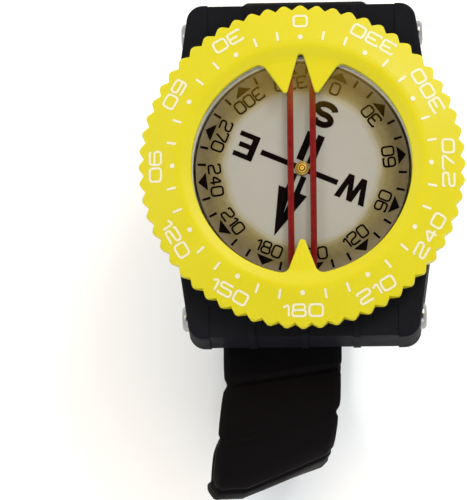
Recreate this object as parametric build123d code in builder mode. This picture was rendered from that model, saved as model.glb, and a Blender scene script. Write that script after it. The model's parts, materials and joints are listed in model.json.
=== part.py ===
from build123d import *
from math import cos, radians, sin
import os

# A bearing compass worn on the wrist: an oil-filled capsule with a floating card sits in a black
# lugged housing, under a yellow rotating bezel, on a two-piece rubber strap.
# Millimetres. +Z leaves the dial, +Y points to the bezel's 0 mark, +X is to the wearer's right.
# The origin is the centre of the flat back cover, on the bezel's axis.

# Housing
WAIST_RADIUS = 29.0
END_HALF_WIDTH = 24.6
HALF_LENGTH = 36.4
CORNER_RADIUS = 3.5
HOUSING_TOP = 12.6
END_DRAFT = 1.0
SIDE_DRAFT = 0.4
COVER_THICKNESS = 2.0
COVER_RADIUS = 25.6
COVER_CLEARANCE = 0.1
EAR_RADIUS = 3.1
EAR_CENTRE = 28.0
SCREW_RADIUS = 0.9
SCREW_HEAD_RADIUS = 1.7
SCREW_HEAD_TOP = 1.0
SCREW_RECESS = 0.3
SCREW_DEPTH = 7.5
DRIVE_LENGTH, DRIVE_WIDTH, DRIVE_DEPTH = 1.8, 0.4, 0.4
PANEL_HALF_WIDTH = 19.8
PANEL_MIDDLE_Y = 34.6
PANEL_LENGTH = 12.0
PANEL_DEPTH = 0.25
RIB_WIDTH = 1.6
RIB_SPACING = 11.0
WEAR_RADIUS = 0.9
CUT_MARGIN = 1.0

# Strap lugs and pins
PIN_Y = 30.3
PIN_Z = 4.6
PIN_RADIUS = 1.5
PIN_HALF_LENGTH = 23.4
SLOT_HALF_WIDTH = 20.0
SLOT_INNER_Y = 26.9
SLOT_OUTER_Y = 34.1
SLOT_ROOF = 9.2
HEAD_RADIUS = 2.75
HEAD_SEAT_X = 24.2
HEAD_CLEARANCE = 0.15
HEAD_THICKNESS = 1.5
HEAD_EDGE_RADIUS = 0.9
HEAD_SHANK_LENGTH = 8.0
HEAD_SHANK_ROOT = 0.2
CROSS_SLOT_WIDTH = 0.7
CROSS_SLOT_LENGTH = 3.2
CROSS_SLOT_DEPTH = 0.6

# Capsule: a pale cup whose spigot wall stands inside the clear dome's skirt
BORE_RADIUS = 25.0
BORE_LIP_Z = 11.2
COLLAR_BORE = 24.3
DOME_RADIUS = 24.1
CAPSULE_INNER = 22.9
SPIGOT_RADIUS = 23.5
SPIGOT_TOP = 15.2
BASE_BOTTOM = 3.0
BASE_FLOOR = 4.4
FLANGE_BOTTOM = 9.4
FLANGE_CLEARANCE = 0.04
SEAL_INNER, SEAL_OUTER = 23.5, 24.3
SEAL_DEPTH = 0.6
PAD_INNER, PAD_OUTER = 18.5, 23.0
BOSS_RADIUS = 3.4
BOSS_TOP = 8.4
DOME_TOP = 17.1
DOME_INSIDE = 15.7
DOME_SHOULDER = 1.6
LUBBER_SPACING = 4.7
LUBBER_WIDTH = 1.25
LUBBER_THICKNESS = 0.3
LUBBER_HALF_LENGTH = 22.4
DIAPHRAGM_X = -13.0
DIAPHRAGM_RADIUS = 7.0
DIAPHRAGM_PORT = 5.0
DIAPHRAGM_THICKNESS = 0.5
DIAPHRAGM_BEAD_RADIUS = 3.8
DIAPHRAGM_BEAD_DEPTH = 1.0
CLAMP_THICKNESS = 1.0
PLUG_X = 13.0
PLUG_RADIUS = 1.5
PLUG_HEAD_RADIUS = 2.4
PLUG_HEAD_THICKNESS = 0.8

# Card assembly
CARD_RADIUS = 22.3
CARD_BOTTOM = 13.0
CARD_THICKNESS = 0.6
CARD_HEADING = 201.5
CUP_RADIUS = 1.5
CUP_BOTTOM = 11.4
CUP_BORE = 1.1
CUP_TOP = 14.7
PIVOT_RADIUS = 0.5
PIVOT_SHANK_RADIUS = 0.9
PIVOT_SHANK_TOP = 9.5
PIVOT_TAPER = 0.5
PIVOT_POINT_LENGTH = 1.2
PIVOT_POINT_RADIUS = 0.08
PIVOT_TIP = 12.7
JEWEL_BOTTOM = 12.8
JEWEL_THICKNESS = 0.5
FLOAT_CENTRE = 5.6
FLOAT_WIDTH, FLOAT_HEIGHT = 7.6, 3.2
FLOAT_ROUND = 0.9
FLOAT_WALL = 0.5
MAGNET_WIDTH, MAGNET_LENGTH, MAGNET_HEIGHT = 3.0, 16.0, 1.8
MAGNET_ROUND = 0.4
MAGNET_SPACING = 24.0

# Bezel
TEETH = 60
APEX_RADIUS = 34.27
VALLEY_RADIUS = 32.85
CREST_ROUND = 0.9
RIM_RADIUS = 34.1
RIM_ROUND = 1.1
RIM_ARC_RADIUS = 1.2
SKIRT_RADIUS = 33.0
SKIRT_TOP = 16.0
BEZEL_BOTTOM = 13.2
BEZEL_RIM_TOP = 17.8
BEZEL_BORE = 27.6
ROLL_RADIUS, ROLL_Z = 26.8, 19.29
CROWN_RADIUS, CROWN_Z = 25.3, 19.44
OPENING_RADIUS = 22.93
FLANGE_UNDERSIDE = 17.5
POINTER_TOP = 18.5
POINTER_FLAT_RADIUS = 21.6
POINTER_REACH = 13.5
POINTER_EDGE_ROUND = 0.4
POINTER_ROOT_Y = 25.5
POINTER_ROOT_BLEND = 1.7
WEDGE_ROOT_X = 10.94
WEDGE_TIP_X, WEDGE_TIP_Y = 3.12, 14.46
WEDGE_SLOT_Y = 25.05
SPLIT_TIP_RADIUS = 0.62
SLOT_END_RADIUS = 0.66
SINGLE_ROOT_X = 4.35
SINGLE_TIP_Y = 14.3
SINGLE_TIP_RADIUS = 0.7
OPENING_EDGE_Z = 18.1
OPENING_EDGE_LIMIT = 23.8
DETENT_RADIUS = 31.0
DETENT_LENGTH, DETENT_WIDTH, DETENT_DEPTH = 2.8, 1.7, 0.7
SPRING_LENGTH, SPRING_WIDTH = 13.6, 2.8
SPRING_THICKNESS = 0.5
SPRING_SEAT = 1.3
SPRING_CLEARANCE = 0.2
BUMP_WIDTH, BUMP_LENGTH = 0.8, 2.0
BUMP_REACH = 0.3
COLLAR_RADIUS = 27.2
COLLAR_TOP = 16.6
DRAG_RING_TOP = 17.1
DRAG_RING_INSET = 0.2
GROOVE_BOTTOM, GROOVE_TOP = 14.5, 15.3
GROOVE_RADIUS = 26.6
RETAINER_RADIUS = 27.95
RETAINER_CLEARANCE = 0.05
RETAINER_GAP = 4.0
RETAINER_ROOM = 0.4

# Strap
STRAP_THICKNESS = 3.0
BARREL_RADIUS = 3.1
PIN_CLEARANCE = 0.05
LONG_WIDTH = 26.0
LONG_SHIFT = -4.6
SHORT_WIDTH = 28.4
SHORT_SHIFT = 0.4
LONG_ROUTE = [(-30.3, 4.6), (-32.8, -4.2), (-62.3, -4.2), (-61.8, -29.0), (-45.0, -44.5), (-16.0, -44.5)]
LONG_BENDS = [3.0, 11.0, 13.0, 13.0]
LONG_SKEW = 0.26
SKEW_START_Y, SKEW_END_Y = -40.0, -48.0
SHORT_ROUTE = [(30.3, 4.6), (32.5, -3.4), (38.6, -5.2), (38.9, -27.5), (25.0, -42.9), (11.0, -42.9)]
SHORT_BENDS = [2.2, 3.0, 9.0, 8.0]
HOLE_COUNT = 5
HOLE_PITCH = 4.5
HOLE_FIRST_Y = -40.0
HOLE_LENGTH, HOLE_WIDTH = 3.6, 2.2

# Buckle and strap loops
BUCKLE_PIN_RADIUS = 1.0
BUCKLE_BARREL = 2.2
BUCKLE_HALF_WIDTH = 16.6
BUCKLE_ARM = 2.0
BUCKLE_LENGTH = 13.0
BUCKLE_BAR = 1.2
BUCKLE_PIN_INSET = 0.5
BUCKLE_ARM_MARGIN = 0.8
TONGUE_EYE = 1.9
TONGUE_BAR_GAP = 0.3
TONGUE_OVERHANG = 1.6
TONGUE_ROOT_DROP = 1.6
TONGUE_KNEE = 0.55
TONGUE_WIDTH = 2.4
TONGUE_THICKNESS = 1.2
TONGUE_NOTCH = 3.2
TONGUE_NOTCH_MARGIN = 0.6
KEEPER_WALL = 1.3
KEEPER_LENGTH = 5.0
KEEPER_GAP = 0.35
FIXED_KEEPER_Y = 16.9


def body_outline(plane, half_length, half_width, waist_radius):
    """Barrel-shaped plan: a round waist hulled with four rounded end corners."""
    spread_x = 2 * (half_width - CORNER_RADIUS)
    spread_y = 2 * (half_length - CORNER_RADIUS)
    with BuildSketch(plane) as outline:
        Circle(waist_radius)
        with GridLocations(spread_x, spread_y, 2, 2):
            Circle(CORNER_RADIUS)
        make_hull()
    return outline.sketch


def ring_face(height, outer, inner):
    """Flat ring at a height on the dial's axis."""
    with BuildSketch(Plane.XY.offset(height)) as ring:
        Circle(outer)
        if inner > 0:
            Circle(inner, mode=Mode.SUBTRACT)
    return ring.sketch


def cover_outline(height, clearance):
    """Round back plate with four screw ears, grown by a clearance."""
    with BuildSketch(Plane.XY.offset(height)) as outline:
        Circle(COVER_RADIUS + clearance)
        with PolarLocations(EAR_CENTRE, 4, start_angle=45):
            Circle(EAR_RADIUS + clearance)
    return outline.sketch


def strap_face(route, bends, end_radius):
    """Side profile of a strap half: a constant thickness along its route, with a pin barrel."""
    with BuildSketch() as side:
        with BuildLine(mode=Mode.PRIVATE) as centreline:
            FilletPolyline(*route, radius=bends)
        trace(centreline.line, line_width=STRAP_THICKNESS)
        with Locations(route[0]):
            Circle(BARREL_RADIUS)
        with Locations(route[-1]):
            Circle(end_radius)
    return side.sketch


def keeper(plane, width, height, inner_width, inner_height):
    """Rectangular strap loop, centred on its plane's origin and running along its normal."""
    with BuildPart() as loop:
        with BuildSketch(plane):
            RectangleRounded(width, height, KEEPER_WALL)
            Rectangle(inner_width, inner_height, mode=Mode.SUBTRACT)
        extrude(amount=KEEPER_LENGTH / 2, both=True)
    return loop.part


os.makedirs("parts", exist_ok=True)
pieces = []

# ---------------------------------------------------------------- housing
outer_bottom = body_outline(Plane.XY, HALF_LENGTH, END_HALF_WIDTH, WAIST_RADIUS)
outer_top = body_outline(
    Plane.XY.offset(HOUSING_TOP),
    HALF_LENGTH - END_DRAFT,
    END_HALF_WIDTH - SIDE_DRAFT,
    WAIST_RADIUS - SIDE_DRAFT,
)
inner_bottom = body_outline(
    Plane.XY, HALF_LENGTH - PANEL_DEPTH, END_HALF_WIDTH, WAIST_RADIUS
)
inner_top = body_outline(
    Plane.XY.offset(HOUSING_TOP - PANEL_DEPTH),
    HALF_LENGTH - END_DRAFT - PANEL_DEPTH,
    END_HALF_WIDTH,
    WAIST_RADIUS,
)

# The end panels are what lies outside a slightly smaller body, between the cheeks and the ribs.
with BuildPart() as end_panels:
    panel_width = RIB_SPACING - RIB_WIDTH
    edge_width = PANEL_HALF_WIDTH - RIB_SPACING - RIB_WIDTH / 2
    edge_centre = PANEL_HALF_WIDTH - edge_width / 2
    for end in (-1, 1):
        with BuildSketch(Plane.XY.offset(-CUT_MARGIN)):
            with Locations((0, end * PANEL_MIDDLE_Y)):
                with Locations((-RIB_SPACING / 2, 0), (RIB_SPACING / 2, 0)):
                    Rectangle(panel_width, PANEL_LENGTH)
                with Locations((-edge_centre, 0), (edge_centre, 0)):
                    Rectangle(edge_width, PANEL_LENGTH)
        extrude(amount=HOUSING_TOP + 2 * CUT_MARGIN)
    loft(sections=[inner_bottom, inner_top], mode=Mode.SUBTRACT)

with BuildPart() as housing:
    loft(sections=[outer_bottom, outer_top])
    fillet(housing.faces().sort_by(Axis.Z)[-1].edges(), WEAR_RADIUS)
    add(end_panels.part, mode=Mode.SUBTRACT)
    extrude(ring_face(BORE_LIP_Z, COLLAR_RADIUS, 0), amount=COLLAR_TOP - BORE_LIP_Z)
    extrude(ring_face(0, BORE_RADIUS, 0), amount=BORE_LIP_Z, mode=Mode.SUBTRACT)
    extrude(ring_face(0, COLLAR_BORE, 0), amount=COLLAR_TOP, mode=Mode.SUBTRACT)
    extrude(
        ring_face(GROOVE_BOTTOM, COLLAR_RADIUS + CUT_MARGIN, GROOVE_RADIUS),
        amount=GROOVE_TOP - GROOVE_BOTTOM,
        mode=Mode.SUBTRACT,
    )
    extrude(cover_outline(0, COVER_CLEARANCE), amount=COVER_THICKNESS, mode=Mode.SUBTRACT)
    with BuildSketch(Plane.XY.offset(COVER_THICKNESS)):
        with PolarLocations(EAR_CENTRE, 4, start_angle=45):
            Circle(SCREW_RADIUS)
    extrude(amount=SCREW_DEPTH - COVER_THICKNESS, mode=Mode.SUBTRACT)
    # strap slots, open below and closed outside by an apron
    slot_middle = (SLOT_INNER_Y + SLOT_OUTER_Y) / 2
    with BuildSketch(Plane.XY.offset(-CUT_MARGIN)):
        with Locations((0, slot_middle), (0, -slot_middle)):
            Rectangle(2 * SLOT_HALF_WIDTH, SLOT_OUTER_Y - SLOT_INNER_Y)
    extrude(amount=SLOT_ROOF + CUT_MARGIN, mode=Mode.SUBTRACT)
    # pin holes and flat seats for the screw heads
    with BuildSketch(Plane.YZ):
        with Locations((PIN_Y, PIN_Z), (-PIN_Y, PIN_Z)):
            Circle(PIN_RADIUS)
    extrude(amount=WAIST_RADIUS, both=True, mode=Mode.SUBTRACT)
    for side in (-1, 1):
        with BuildSketch(Plane.YZ.offset(side * HEAD_SEAT_X)):
            with Locations((PIN_Y, PIN_Z), (-PIN_Y, PIN_Z)):
                Circle(HEAD_RADIUS + HEAD_CLEARANCE)
        extrude(amount=side * (WAIST_RADIUS - HEAD_SEAT_X), mode=Mode.SUBTRACT)
    # pocket for the click spring, under the bezel at the 0 mark
    with BuildSketch(Plane.XY.offset(HOUSING_TOP - SPRING_SEAT)):
        with Locations((0, DETENT_RADIUS)):
            SlotOverall(SPRING_LENGTH + 2 * SPRING_CLEARANCE, SPRING_WIDTH + 2 * SPRING_CLEARANCE)
    extrude(amount=SPRING_SEAT + CUT_MARGIN, mode=Mode.SUBTRACT)
pieces.append(("housing", housing))

# ---------------------------------------------------------------- back
with BuildPart() as back_cover:
    extrude(cover_outline(0, 0), amount=COVER_THICKNESS)
    with BuildSketch():
        with PolarLocations(EAR_CENTRE, 4, start_angle=45):
            Circle(SCREW_HEAD_RADIUS)
    extrude(amount=SCREW_HEAD_TOP, mode=Mode.SUBTRACT)
    with BuildSketch():
        with PolarLocations(EAR_CENTRE, 4, start_angle=45):
            Circle(SCREW_RADIUS)
    extrude(amount=COVER_THICKNESS, mode=Mode.SUBTRACT)
pieces.append(("back_cover", back_cover))

with BuildPart() as back_cover_screws:
    with BuildSketch(Plane.XY.offset(SCREW_RECESS)):
        with PolarLocations(EAR_CENTRE, 4, start_angle=45):
            Circle(SCREW_HEAD_RADIUS)
    extrude(amount=SCREW_HEAD_TOP - SCREW_RECESS)
    with BuildSketch(Plane.XY.offset(SCREW_RECESS)):
        with PolarLocations(EAR_CENTRE, 4, start_angle=45):
            Circle(SCREW_RADIUS)
    extrude(amount=SCREW_DEPTH - SCREW_RECESS)
    with BuildSketch(Plane.XY.offset(SCREW_RECESS)):
        with PolarLocations(EAR_CENTRE, 4, start_angle=45):
            Rectangle(DRIVE_LENGTH, DRIVE_WIDTH)
            Rectangle(DRIVE_WIDTH, DRIVE_LENGTH)
    extrude(amount=DRIVE_DEPTH, mode=Mode.SUBTRACT)
pieces.append(("back_cover_screws", back_cover_screws))

with BuildPart() as capsule_pad:
    extrude(ring_face(COVER_THICKNESS, PAD_OUTER, PAD_INNER), amount=BASE_BOTTOM - COVER_THICKNESS)
pieces.append(("capsule_pad", capsule_pad))

# ---------------------------------------------------------------- capsule
with BuildPart() as capsule_base:
    extrude(ring_face(BASE_BOTTOM, DOME_RADIUS, 0), amount=BORE_LIP_Z - BASE_BOTTOM)
    flange = ring_face(FLANGE_BOTTOM, BORE_RADIUS - FLANGE_CLEARANCE, 0)
    extrude(flange, amount=BORE_LIP_Z - FLANGE_BOTTOM)
    extrude(ring_face(BORE_LIP_Z, SPIGOT_RADIUS, 0), amount=SPIGOT_TOP - BORE_LIP_Z)
    extrude(ring_face(BASE_FLOOR, CAPSULE_INNER, 0), amount=SPIGOT_TOP - BASE_FLOOR, mode=Mode.SUBTRACT)
    extrude(ring_face(BASE_BOTTOM, BOSS_RADIUS, 0), amount=BOSS_TOP - BASE_BOTTOM)
    extrude(
        ring_face(BASE_BOTTOM, PIVOT_SHANK_RADIUS, 0),
        amount=BOSS_TOP - BASE_BOTTOM,
        mode=Mode.SUBTRACT,
    )
    with BuildSketch(Plane.XY.offset(BASE_BOTTOM)):
        with Locations((DIAPHRAGM_X, 0)):
            Circle(DIAPHRAGM_PORT)
        with Locations((PLUG_X, 0)):
            Circle(PLUG_RADIUS)
    extrude(amount=BASE_FLOOR - BASE_BOTTOM, mode=Mode.SUBTRACT)
    extrude(
        ring_face(BORE_LIP_Z - SEAL_DEPTH, SEAL_OUTER, SEAL_INNER),
        amount=SEAL_DEPTH,
        mode=Mode.SUBTRACT,
    )
pieces.append(("capsule_base", capsule_base))

with BuildPart() as capsule_seal:
    extrude(ring_face(BORE_LIP_Z - SEAL_DEPTH, SEAL_OUTER, SEAL_INNER), amount=SEAL_DEPTH)
pieces.append(("capsule_seal", capsule_seal))

with BuildPart() as capsule_dome:
    with BuildSketch(Plane.XZ):
        with BuildLine():
            Polyline(
                (0, DOME_INSIDE),
                (CAPSULE_INNER, DOME_INSIDE),
                (CAPSULE_INNER, SPIGOT_TOP),
                (SPIGOT_RADIUS, SPIGOT_TOP),
                (SPIGOT_RADIUS, BORE_LIP_Z),
                (DOME_RADIUS, BORE_LIP_Z),
                (DOME_RADIUS, DOME_TOP - DOME_SHOULDER),
            )
            RadiusArc(
                (DOME_RADIUS, DOME_TOP - DOME_SHOULDER),
                (DOME_RADIUS - DOME_SHOULDER, DOME_TOP),
                -DOME_SHOULDER,
            )
            Polyline((DOME_RADIUS - DOME_SHOULDER, DOME_TOP), (0, DOME_TOP), (0, DOME_INSIDE))
        make_face()
    revolve(axis=Axis.Z)
pieces.append(("capsule_dome", capsule_dome))

with BuildPart() as lubber_lines:
    with BuildSketch(Plane.XY.offset(DOME_INSIDE - LUBBER_THICKNESS)):
        with Locations((-LUBBER_SPACING / 2, 0), (LUBBER_SPACING / 2, 0)):
            Rectangle(LUBBER_WIDTH, 2 * LUBBER_HALF_LENGTH)
    extrude(amount=LUBBER_THICKNESS)
pieces.append(("lubber_lines", lubber_lines))

with BuildPart() as expansion_diaphragm:
    with BuildSketch(Plane.XY.offset(BASE_FLOOR)):
        with Locations((DIAPHRAGM_X, 0)):
            Circle(DIAPHRAGM_RADIUS)
    extrude(amount=DIAPHRAGM_THICKNESS)
    with BuildSketch(Plane.XY.offset(BASE_FLOOR - DIAPHRAGM_BEAD_DEPTH)):
        with Locations((DIAPHRAGM_X, 0)):
            Circle(DIAPHRAGM_BEAD_RADIUS)
            Circle(DIAPHRAGM_BEAD_RADIUS - DIAPHRAGM_THICKNESS, mode=Mode.SUBTRACT)
    extrude(amount=DIAPHRAGM_BEAD_DEPTH)
pieces.append(("expansion_diaphragm", expansion_diaphragm))

with BuildPart() as diaphragm_ring:
    with BuildSketch(Plane.XY.offset(BASE_FLOOR + DIAPHRAGM_THICKNESS)):
        with Locations((DIAPHRAGM_X, 0)):
            Circle(DIAPHRAGM_RADIUS)
            Circle(DIAPHRAGM_PORT, mode=Mode.SUBTRACT)
    extrude(amount=CLAMP_THICKNESS)
pieces.append(("diaphragm_ring", diaphragm_ring))

with BuildPart() as filler_plug:
    with BuildSketch(Plane.XY.offset(BASE_BOTTOM - PLUG_HEAD_THICKNESS)):
        with Locations((PLUG_X, 0)):
            Circle(PLUG_HEAD_RADIUS)
    extrude(amount=PLUG_HEAD_THICKNESS)
    with BuildSketch(Plane.XY.offset(BASE_BOTTOM)):
        with Locations((PLUG_X, 0)):
            Circle(PLUG_RADIUS)
    extrude(amount=BASE_FLOOR - BASE_BOTTOM)
pieces.append(("filler_plug", filler_plug))

with BuildPart() as pivot_pin:
    with BuildSketch(Plane.XZ):
        with BuildLine():
            Polyline(
                (0, BASE_BOTTOM),
                (PIVOT_SHANK_RADIUS, BASE_BOTTOM),
                (PIVOT_SHANK_RADIUS, PIVOT_SHANK_TOP),
                (PIVOT_RADIUS, PIVOT_SHANK_TOP + PIVOT_TAPER),
                (PIVOT_RADIUS, PIVOT_TIP - PIVOT_POINT_LENGTH),
                (PIVOT_POINT_RADIUS, PIVOT_TIP),
                (0, PIVOT_TIP),
                close=True,
            )
        make_face()
    revolve(axis=Axis.Z)
pieces.append(("pivot_pin", pivot_pin))

# ---------------------------------------------------------------- card assembly
card_top = CARD_BOTTOM + CARD_THICKNESS
with BuildPart() as card_disc:
    extrude(ring_face(CARD_BOTTOM, CARD_RADIUS, CUP_RADIUS), amount=CARD_THICKNESS)
pieces.append(("card_disc", card_disc))

with BuildPart() as card_float:
    with BuildSketch(Plane.XZ):
        with Locations((FLOAT_CENTRE, CARD_BOTTOM - FLOAT_HEIGHT / 2)):
            RectangleRounded(FLOAT_WIDTH, FLOAT_HEIGHT, FLOAT_ROUND)
            RectangleRounded(
                FLOAT_WIDTH - 2 * FLOAT_WALL,
                FLOAT_HEIGHT - 2 * FLOAT_WALL,
                FLOAT_ROUND - FLOAT_WALL,
                mode=Mode.SUBTRACT,
            )
    revolve(axis=Axis.Z)
pieces.append(("card_float", card_float))

magnet_plane = Plane(
    origin=(0, 0, CARD_BOTTOM - MAGNET_HEIGHT),
    x_dir=(cos(radians(-CARD_HEADING)), sin(radians(-CARD_HEADING)), 0),
    z_dir=(0, 0, 1),
)
with BuildPart() as card_magnets:
    with BuildSketch(magnet_plane):
        with Locations((-MAGNET_SPACING / 2, 0), (MAGNET_SPACING / 2, 0)):
            RectangleRounded(MAGNET_WIDTH, MAGNET_LENGTH, MAGNET_ROUND)
    extrude(amount=MAGNET_HEIGHT)
pieces.append(("card_magnets", card_magnets))

cup_rise = CUP_TOP - card_top
with BuildPart() as jewel_cup:
    with BuildSketch(Plane.XZ):
        with BuildLine():
            Polyline(
                (0, JEWEL_BOTTOM + JEWEL_THICKNESS),
                (CUP_BORE, JEWEL_BOTTOM + JEWEL_THICKNESS),
                (CUP_BORE, CUP_BOTTOM),
                (CUP_RADIUS, CUP_BOTTOM),
                (CUP_RADIUS, card_top + 0.35 * cup_rise),
                (0.83 * CUP_RADIUS, card_top + 0.55 * cup_rise),
                (0.53 * CUP_RADIUS, card_top + 0.77 * cup_rise),
                (0.33 * CUP_RADIUS, CUP_TOP),
                (0, CUP_TOP),
                close=True,
            )
        make_face()
    revolve(axis=Axis.Z)
pieces.append(("jewel_cup", jewel_cup))

with BuildPart() as jewel:
    extrude(ring_face(JEWEL_BOTTOM, CUP_BORE, 0), amount=JEWEL_THICKNESS)
pieces.append(("jewel", jewel))

# ---------------------------------------------------------------- bezel
# Sixty V-shaped teeth with rounded crests.
with BuildPart() as toothed_prism:
    with BuildSketch(Plane.XY.offset(BEZEL_BOTTOM)) as teeth_plan:
        half_pitch = 180 / TEETH
        tooth_points = []
        for k in range(2 * TEETH):
            reach = VALLEY_RADIUS if k % 2 else APEX_RADIUS
            angle = radians(90 + k * half_pitch)
            tooth_points.append((reach * cos(angle), reach * sin(angle)))
        with BuildLine():
            Polyline(*tooth_points, close=True)
        make_face()
        crests = teeth_plan.vertices().filter_by(lambda v: v.X**2 + v.Y**2 > RIM_RADIUS**2)
        fillet(crests, CREST_ROUND)
    extrude(amount=CROWN_Z + CUT_MARGIN - BEZEL_BOTTOM)

# Opening in plan: a circle with a split wedge at the 0 mark and a single pointer opposite.
with BuildSketch() as wedges:
    with BuildLine():
        Polyline(
            (-WEDGE_ROOT_X, POINTER_ROOT_Y),
            (-WEDGE_TIP_X, WEDGE_TIP_Y),
            (0, WEDGE_SLOT_Y),
            (WEDGE_TIP_X, WEDGE_TIP_Y),
            (WEDGE_ROOT_X, POINTER_ROOT_Y),
            close=True,
        )
    make_face()
    slot_end = wedges.vertices().sort_by_distance((0, WEDGE_SLOT_Y))[0]
    fillet(slot_end, SLOT_END_RADIUS)
    fillet(wedges.vertices().group_by(Axis.Y)[0], SPLIT_TIP_RADIUS)

with BuildSketch() as single_pointer:
    with BuildLine():
        Polyline(
            (-SINGLE_ROOT_X, -POINTER_ROOT_Y),
            (0, -SINGLE_TIP_Y),
            (SINGLE_ROOT_X, -POINTER_ROOT_Y),
            close=True,
        )
    make_face()
    fillet(single_pointer.vertices().group_by(Axis.Y)[-1], SINGLE_TIP_RADIUS)

with BuildSketch(Plane.XY.offset(FLANGE_UNDERSIDE - CUT_MARGIN)) as opening:
    Circle(OPENING_RADIUS)
    # the wedges cover this disc, so it only lets the slot between them run past the circle
    with Locations((0, OPENING_RADIUS)):
        Circle(2 * SLOT_END_RADIUS)
    add(wedges.sketch, mode=Mode.SUBTRACT)
    add(single_pointer.sketch, mode=Mode.SUBTRACT)
    roots = opening.vertices().filter_by(
        lambda v: abs((v.X**2 + v.Y**2) ** 0.5 - OPENING_RADIUS) < 0.01
    )
    fillet(roots, POINTER_ROOT_BLEND)

with BuildPart() as bezel:
    with BuildSketch(Plane.XZ):
        cone_direction = (ROLL_RADIUS - RIM_RADIUS + RIM_ROUND, ROLL_Z - BEZEL_RIM_TOP)
        with BuildLine():
            Polyline(
                (POINTER_REACH, POINTER_TOP),
                (POINTER_REACH, FLANGE_UNDERSIDE),
                (BEZEL_BORE, FLANGE_UNDERSIDE),
                (BEZEL_BORE, BEZEL_BOTTOM),
                (SKIRT_RADIUS, BEZEL_BOTTOM),
                (RIM_RADIUS, SKIRT_TOP),
                (RIM_RADIUS, BEZEL_RIM_TOP - RIM_ROUND),
            )
            RadiusArc(
                (RIM_RADIUS, BEZEL_RIM_TOP - RIM_ROUND),
                (RIM_RADIUS - RIM_ROUND, BEZEL_RIM_TOP),
                -RIM_ARC_RADIUS,
            )
            Line((RIM_RADIUS - RIM_ROUND, BEZEL_RIM_TOP), (ROLL_RADIUS, ROLL_Z))
            Spline(
                (ROLL_RADIUS, ROLL_Z),
                (CROWN_RADIUS, CROWN_Z),
                (POINTER_FLAT_RADIUS, POINTER_TOP),
                tangents=(cone_direction, (-1, 0)),
            )
            Line((POINTER_FLAT_RADIUS, POINTER_TOP), (POINTER_REACH, POINTER_TOP))
        make_face()
    revolve(axis=Axis.Z)
    extrude(opening.sketch, amount=CROWN_Z - FLANGE_UNDERSIDE + 2 * CUT_MARGIN, mode=Mode.SUBTRACT)
    top_edges = bezel.edges().filter_by(Axis.Z, reverse=True).filter_by(
        lambda e: e.center().Z > OPENING_EDGE_Z
        and (e.center().X ** 2 + e.center().Y ** 2) ** 0.5 < OPENING_EDGE_LIMIT
    )
    fillet(top_edges, POINTER_EDGE_ROUND)
    add(toothed_prism.part, mode=Mode.INTERSECT)
    # room for the snap ring, and the detent notches under the rim
    extrude(
        ring_face(GROOVE_BOTTOM - RETAINER_ROOM, RETAINER_RADIUS + RETAINER_ROOM, COLLAR_RADIUS),
        amount=GROOVE_TOP - GROOVE_BOTTOM + 2 * RETAINER_ROOM,
        mode=Mode.SUBTRACT,
    )
    with BuildSketch(Plane.XY.offset(BEZEL_BOTTOM)):
        with PolarLocations(DETENT_RADIUS, TEETH, start_angle=90):
            Rectangle(DETENT_LENGTH, DETENT_WIDTH)
    extrude(amount=DETENT_DEPTH, mode=Mode.SUBTRACT)
pieces.append(("bezel", bezel))

with BuildPart() as bezel_retainer:
    extrude(
        ring_face(GROOVE_BOTTOM + RETAINER_CLEARANCE, RETAINER_RADIUS, GROOVE_RADIUS + RETAINER_CLEARANCE),
        amount=GROOVE_TOP - GROOVE_BOTTOM - 2 * RETAINER_CLEARANCE,
    )
    with BuildSketch(Plane.XY.offset(GROOVE_BOTTOM)):
        with Locations((0, -RETAINER_RADIUS)):
            Rectangle(RETAINER_GAP, RETAINER_GAP)
    extrude(amount=GROOVE_TOP - GROOVE_BOTTOM, mode=Mode.SUBTRACT)
pieces.append(("bezel_retainer", bezel_retainer))

with BuildPart() as bezel_drag_ring:
    extrude(
        ring_face(COLLAR_TOP, COLLAR_RADIUS - DRAG_RING_INSET, COLLAR_BORE + DRAG_RING_INSET),
        amount=DRAG_RING_TOP - COLLAR_TOP,
    )
pieces.append(("bezel_drag_ring", bezel_drag_ring))

with BuildPart() as click_spring:
    with BuildSketch(Plane.XY.offset(HOUSING_TOP - SPRING_SEAT)):
        with Locations((0, DETENT_RADIUS)):
            SlotOverall(SPRING_LENGTH, SPRING_WIDTH)
    extrude(amount=SPRING_THICKNESS)
    with BuildSketch(Plane.XY.offset(HOUSING_TOP - SPRING_SEAT)):
        with Locations((0, DETENT_RADIUS)):
            Rectangle(BUMP_WIDTH, BUMP_LENGTH)
    extrude(amount=BEZEL_BOTTOM + BUMP_REACH - HOUSING_TOP + SPRING_SEAT)
pieces.append(("click_spring", click_spring))

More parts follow.
